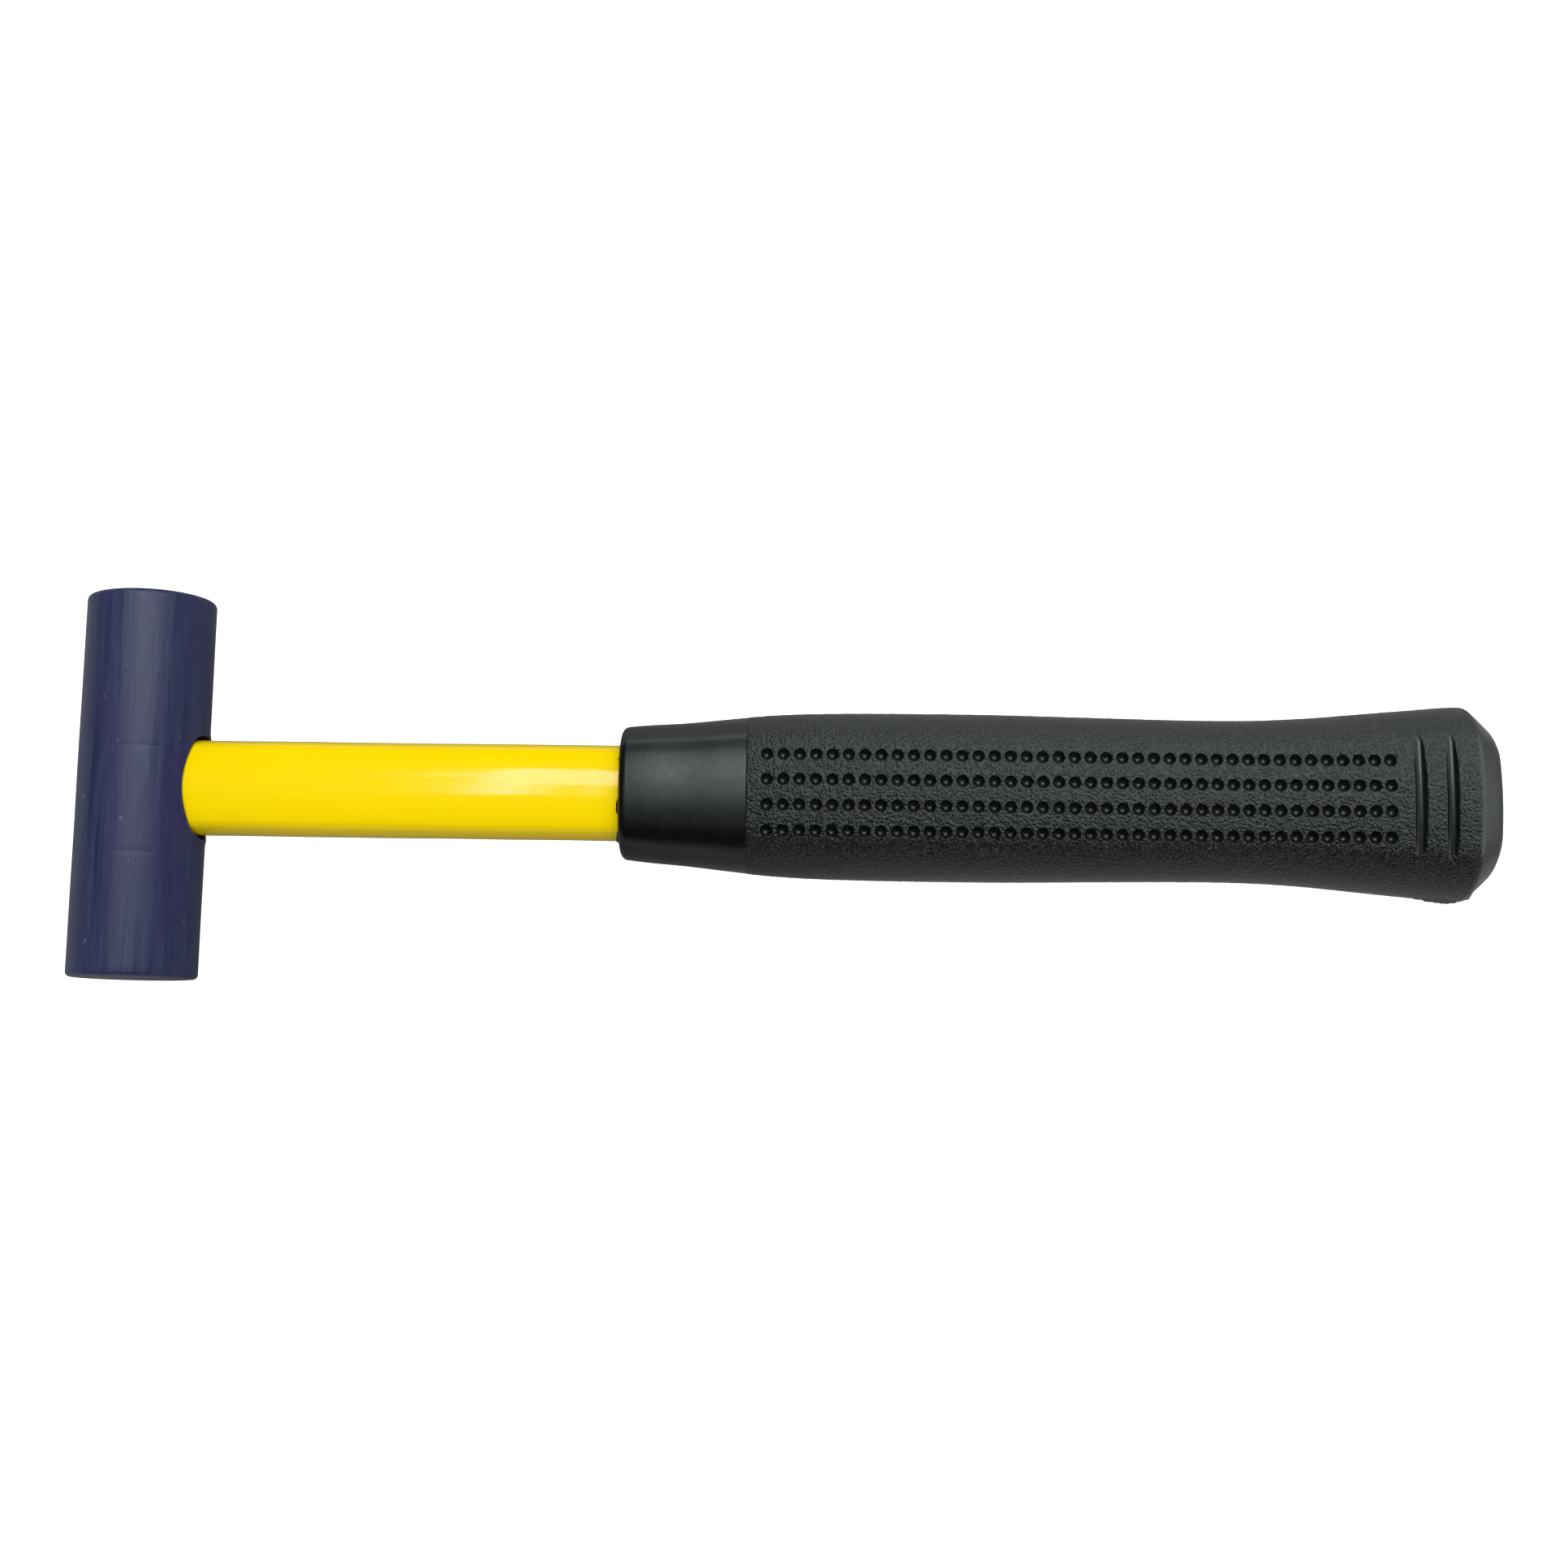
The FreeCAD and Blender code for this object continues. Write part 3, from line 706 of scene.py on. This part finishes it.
def grip_section(x, half):
    """Points of the grip's section as (y, z, groove depth). The columns on the flats carry the dimples."""
    middle = grip_middle(x)
    shrink = min(1.0, half / NARROW)
    top = (FIELD_MIDDLE + FIELD_HALF - middle) * shrink
    bottom = (FIELD_MIDDLE - FIELD_HALF - middle) * shrink
    heights = [top + (bottom - top) * step / FLAT_STEPS for step in range(FLAT_STEPS + 1)]
    flat = [GRIP_OVAL.turn_at(height / half) for height in heights]
    turns = [flat[0] * step * 2 / SIDE_STEPS for step in range(SIDE_STEPS // 2)]
    turns += flat[:-1]
    lower = 2 * (math.pi - flat[-1])
    turns += [flat[-1] + lower * step / SIDE_STEPS for step in range(SIDE_STEPS)]
    turns += [2 * math.pi - turn for turn in flat[:0:-1]]
    turns += [2 * math.pi - flat[0] * (1 - step * 2 / SIDE_STEPS) for step in range(SIDE_STEPS // 2)]
    section = []
    for turn in turns:
        y, z = GRIP_OVAL.point(turn) * half
        section.append((y + middle, z, groove_depth(x, y + middle, z, half)))
    return section


def burr(x):
    """Height of the flash that the mould's parting line left along the lower edge, near the butt."""
    low = 0.45 * smoothstep(x, 257.0, 263.0) * (1 - smoothstep(x, 266.5, 268.0))
    return low * (1 + noise.noise(Vector((x, 0, 0)))) + 0.95 * math.exp(-((x - 270.2) / 0.9) ** 2)


def grip_ring(shell, x, half, skipped=()):
    """A ring of the outside. Where a column is skipped, there is no point, and None stands for it."""
    ring = []
    for column, (y, z, depth) in enumerate(grip_section(x, half)):
        if column in skipped:
            ring.append(None)
            continue
        beside_field = abs(y) > FIELD_HALF
        relief = ripple(x, y, z, GRAIN_SPREAD, GRAIN_HEIGHT) * grip_grain(x) if beside_field else 0.0
        z -= math.copysign(depth, z) if depth > 0 else 0.0
        relief += burr(x) if column == BURR_COLUMN else 0.0
        grow = 1 + relief / half
        smooth = smoothstep(depth, 0.0, GROOVE_EDGE)
        index, = shell.ring([(x, y * grow, z * grow)], grip_grain(x) * (1 - smooth))
        ring.append(index)
    return ring


def build_dimple(shell, corners, x, y, side):
    """Fill one cell of the grid, whose border is corners, with a round dimple."""
    rings = [corners]
    count = len(corners)
    for radius, depth, grain in DIMPLE_RINGS:
        points = []
        for step in range(count):
            turn = math.pi / 4 * (8 * step / count - 1)
            spot_x, spot_y = x + radius * math.cos(turn), y + radius * math.sin(turn) * side
            points.append(on_flat(spot_x, spot_y, side, depth))
        rings.append(shell.ring(points, grain))
    shell.bands(rings)
    shell.cap(rings[-1], on_flat(x, y, side, DIMPLE_DEPTH))


def cell_border(rings, start, column):
    """The border of one cell, round it from its corner nearest the butt at the higher column number."""
    far = start + CELL_STEPS
    border = [rings[far][column + CELL_STEPS - step] for step in range(CELL_STEPS)]
    border += [rings[far - step][column] for step in range(CELL_STEPS)]
    border += [rings[start][column + step] for step in range(CELL_STEPS)]
    border += [rings[start + step][column + CELL_STEPS] for step in range(CELL_STEPS)]
    return border


FRONT_COLUMN = SIDE_STEPS // 2
BACK_COLUMN = FRONT_COLUMN + FLAT_STEPS + SIDE_STEPS
BORE_GAP = 0.2
BORE_END = HANDLE_END + 0.2


def build_grip(material):
    """A closed skin: out of the bore, over the front face and the textured body, and round the butt."""
    shell = Shell()
    bore = oval(BORE_GAP, BORE_GAP)
    rings = [shell.ring(section_at(x, bore)) for x in (BORE_END, 200.0, 120.0, FRONT_X + 0.6)]
    shell.cap(rings[0], (BORE_END, 0, 0), flip=True)
    for gap, depth in ((0.24, 0.3), (0.4, 0.1), (0.7, 0.0), (1.6, 0.0)):
        rings.append(shell.ring(section_at(FRONT_X + depth, oval(gap, gap))))

    # The front edge, the smooth collar and the start of the texture
    edge_half = grip_half_height(FRONT_X + FRONT_ROUND)
    for step in range(8):
        turn = math.pi / 2 * (1 - step / 8)
        x = FRONT_X + FRONT_ROUND * (1 - math.sin(turn))
        rings.append(grip_ring(shell, x, edge_half - FRONT_ROUND * (1 - math.cos(turn))))
    places = stations((FRONT_X + FRONT_ROUND, 1.0), (TEXTURE_START - 0.3, 0.3), (TEXTURE_START, 0.05),
                      (TEXTURE_START + 0.2, 0.6), (FIELD_START, 1.0))
    rings += [grip_ring(shell, x, grip_half_height(x)) for x in places[:-1]]

    # The dimpled field, on both flats
    starts = [first + CELL_STEPS * row for first in (FRONT_COLUMN, BACK_COLUMN) for row in range(DIMPLE_ROWS)]
    inside = {start + step for start in starts for step in range(1, CELL_STEPS)}
    field = []
    for at in range(DIMPLE_COLUMNS * CELL_STEPS + 1):
        x = dimple_x(at / CELL_STEPS - 0.5)
        field.append(grip_ring(shell, x, grip_half_height(x), inside if at % CELL_STEPS else ()))
    for column in range(DIMPLE_COLUMNS):
        x = dimple_x(column)
        for side, first in ((1, FRONT_COLUMN), (-1, BACK_COLUMN)):
            for row in range(DIMPLE_ROWS):
                y = FIELD_MIDDLE + side * (FIELD_HALF - (row + 0.5) * DIMPLE_PITCH_Y)
                corners = cell_border(field, column * CELL_STEPS, first + row * CELL_STEPS)
                build_dimple(shell, corners, x, y, side)
    rings += field

    # The grooved flare, its bevel and the rounded butt
    rings += [grip_ring(shell, x, grip_half_height(x)) for x in stations((FIELD_END, 0.2), (RIM_X, 0.2))[1:]]
    rings += [grip_ring(shell, x, half) for x, half in BUTT_PROFILE]
    shell.bands(rings)
    shell.cap(rings[-1], (BUTT_PROFILE[-1][0], grip_middle(BUTT_X), 0))
    return shell.piece("grip_sleeve", material, "grip_rubber", "grip")


# Section of the flash, as (gap from the handle, share of its reach, how far behind the grip's front face)
FLASH_PROFILE = (
    (0.32, 0.0, 0.4), (0.28, 0.0, -0.02), (0.20, 0.6, 0.0), (0.12, 0.95, 0.0), (0.04, 1.0, 0.0),
    (-0.08, 0.9, 0.0), (-0.08, 0.0, 0.4),
)


def build_flash(material):
    """The thin, ragged skin of rubber that the moulding left on the handle at the grip's mouth."""
    shell = Shell()
    reaches = []
    for at, point in enumerate(oval()):
        ragged = max(0.0, noise.noise(Vector((at * 0.31, 4.7, 0.0))) + 0.05)
        torn = 0.8 + noise.noise(Vector((at * 1.7, 0.0, 9.1)))
        patch = math.exp(-((point.x + 4.0) / 1.3) ** 2) * (0.75 if point.y > 0 else 0.3)
        flap = math.exp(-((point.x + 9.6) / 1.0) ** 2)
        reaches.append((0.08 + 0.6 * ragged + patch * torn + 0.9 * flap, 1 + 1.8 * flap))
    rings = []
    for gap, share, back in FLASH_PROFILE:
        points = []
        for at, (reach, thick) in enumerate(reaches):
            point = oval(gap * thick if gap > 0 else gap, gap)[at]
            points.append((FRONT_X + back - share * reach, point.x, point.y))
        rings.append(shell.ring(points))
    rings.reverse()
    shell.bands(rings + rings[:1])
    return shell.piece("grip_flash", material, "grip_rubber")


# ---------------------------------------------------------------- camera, floor and light

CAMERA_PLACE = (138.5, -55.5, 419.4)    # in millimetres about the crossing of the axes
CAMERA_TURN = (7.857, 0.937, 0.737)     # in degrees
CAMERA_LENS = 47.59


def set_camera():
    data = bpy.data.cameras.new("camera")
    data.lens = CAMERA_LENS
    data.sensor_width = 36.0
    data.clip_start, data.clip_end = 0.01, 50.0
    camera = bpy.data.objects.new("camera", data)
    bpy.context.scene.collection.objects.link(camera)
    turn = Euler([math.radians(angle) for angle in CAMERA_TURN], "ZYX")
    camera.matrix_world = Matrix.Translation(place(*CAMERA_PLACE)) @ turn.to_matrix().to_4x4()
    bpy.context.scene.camera = camera


# Sizes and places of the studio are in metres.
SHEET_REACH = 20.0
FLOOR_TONE, FLOOR_GLOW = 0.85, 0.9
BOUNCE_DROP = 1.0           # in millimetres
BOUNCE_GLOW, BOUNCE_SHADED = 0.44, 0.4
LAMP_HEIGHT = 1.0
SCREEN_HEIGHT = 0.8
ROOM_STRENGTH = 0.55
# The ellipse round the handle where the bounce sheet's glow is lowered, a painted shadow of the mallet
SHADE_MIDDLE = (AXES.x + 0.055, AXES.y - 0.015, 0.0)
SHADE_REACH = (0.11, 0.10)


def flat_sheet(name, drop, tone, glow, shaded=1.0):
    """A sheet as far as can be seen, which lies drop millimetres under the head and the grip.
    Inside an ellipse under the handle its glow is lowered to the shaded share of what it is elsewhere, a
    painted shadow of the mallet."""
    slope = (HEAD_LOW.z - GRIP_LOW.z) / (RIM_X * MM)
    corners = []
    for x_sign, y_sign in ((-1, -1), (1, -1), (1, 1), (-1, 1)):
        x, y = x_sign * SHEET_REACH, y_sign * SHEET_REACH
        corners.append((AXES.x + x, AXES.y + y, HEAD_LOW.z - x * slope - drop * MM))
    mesh = bpy.data.meshes.new(name)
    mesh.from_pydata(corners, [], [(0, 1, 2, 3)])
    sheet = bpy.data.objects.new(name, mesh)
    bpy.context.scene.collection.objects.link(sheet)
    material, shader = new_material(name)
    grain = noise_value(material, (1, 1, 1), 3.0)
    lighter = tuple(min(1.0, part + 0.03) for part in tone)
    link(material, mix_colours(material, grain, tone, lighter), shader.inputs["Base Color"])
    shader.inputs["Roughness"].default_value = 0.8
    shader.inputs["Specular IOR Level"].default_value = 0.1
    shader.inputs["Emission Color"].default_value = (1, 1, 1, 1)
    mapping = add_node(material, "ShaderNodeMapping")
    spread = [1 / part for part in SHADE_REACH] + [0]
    mapping.inputs["Scale"].default_value = spread
    mapping.inputs["Location"].default_value = [-part * share for part, share in zip(SHADE_MIDDLE, spread)]
    link(material, add_node(material, "ShaderNodeTexCoord").outputs["Object"], mapping.inputs["Vector"])
    shade = add_node(material, "ShaderNodeTexGradient", gradient_type="SPHERICAL")
    link(material, mapping.outputs["Vector"], shade.inputs["Vector"])
    # Painted shadow: the glow falls from glow to glow * shaded towards the middle of the ellipse under the
    # handle
    strength = remap(material, shade.outputs["Fac"], 0, 0.5, glow, glow * shaded)
    link(material, strength, shader.inputs["Emission Strength"])
    mesh.materials.append(material)
    sheet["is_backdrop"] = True
    return sheet


def lay_floor():
    """A white floor for the camera, and a dimmer one under it that lights the mallet from below, with a
    painted shadow under the handle.
    """
    floor = flat_sheet("floor", 0.0, (FLOOR_TONE, FLOOR_TONE, FLOOR_TONE), FLOOR_GLOW)
    floor.visible_diffuse = False
    floor.visible_glossy = False
    # The bounce sheet carries the painted shadow under the handle
    bounce = flat_sheet("floor_bounce", BOUNCE_DROP, (0.0, 0.0, 0.0), BOUNCE_GLOW, BOUNCE_SHADED)
    bounce.visible_camera = False
    bounce.visible_shadow = False


def soft_box(name, low, high, radiance, diffuse=True, glossy=True, only=None):
    """A level soft light above the mallet. low and high are its corners, from the crossing of the axes.
    It lights only that piece if one is given."""
    lamp = area_light(name, high[0] - low[0], high[1] - low[1], radiance)
    lamp.location = AXES + Vector(((low[0] + high[0]) / 2, (low[1] + high[1]) / 2, LAMP_HEIGHT))
    lamp.visible_diffuse = diffuse
    lamp.visible_glossy = glossy
    light_only(lamp, only)


def screen(name, middle, width, turn, radiance, only):
    """An upright soft light whose lower edge is level with the handle's axis. It shows only as a
    reflection in one piece. middle is its place from the crossing of the axes."""
    lamp = area_light(name, width, SCREEN_HEIGHT, radiance)
    lamp.location = AXES + Vector((*middle, SCREEN_HEIGHT / 2))
    lamp.rotation_euler = (math.pi / 2, 0, turn)
    lamp.visible_diffuse = False
    light_only(lamp, only)


def area_light(name, width, height, radiance):
    data = bpy.data.lights.new(name, "AREA")
    data.shape = "RECTANGLE"
    data.size, data.size_y = width, height
    data.energy = radiance * math.pi * width * height
    lamp = bpy.data.objects.new(name, data)
    bpy.context.scene.collection.objects.link(lamp)
    lamp.visible_camera = False
    return lamp


def light_only(lamp, piece):
    if piece is not None:
        receivers = bpy.data.collections.new(lamp.name + "_receivers")
        receivers.objects.link(piece)
        lamp.light_linking.receiver_collection = receivers


def light_scene(head, sleeve):
    world = bpy.data.worlds.new("studio")
    world.use_nodes = True
    world.node_tree.nodes["Background"].inputs["Color"].default_value = (1, 1, 1, 1)
    world.node_tree.nodes["Background"].inputs["Strength"].default_value = ROOM_STRENGTH
    world.cycles_visibility.glossy = False
    bpy.context.scene.world = world
    bpy.context.scene.view_settings.view_transform = "Standard"
    soft_box("key", (-0.045, 0.20), (0.66, 0.59), 5.0)
    soft_box("key_end", (-0.105, -0.04), (-0.045, 0.64), 6.5)
    soft_box("key_tip", (-0.144, 0.36), (-0.105, 0.54), 2.0)
    soft_box("overhead", (-0.3, -0.2), (0.6, 0.9), 1.2, glossy=False)
    soft_box("head_band", (-0.52, 0.20), (-0.16, 1.0), 3.2, diffuse=False, only=head)
    soft_box("grip_front", (-0.05, -0.02), (0.66, 0.59), 4.4, diffuse=False, only=sleeve)
    soft_box("grip_rear", (-0.20, 0.59), (1.0, 1.8), 1.3, diffuse=False, only=sleeve)
    screen("grip_back", (0.4, 1.8), 1.6, math.pi, 1.5, sleeve)
    screen("grip_side", (1.3, 0.3), 1.8, math.pi / 2, 1.9, sleeve)


rubber = grip_rubber()
head = build_head(urethane())
build_handle(yellow_jacket())
sleeve = build_grip(rubber)
build_flash(rubber)
dress_inner_nodes()
set_camera()
lay_floor()
light_scene(head, sleeve)
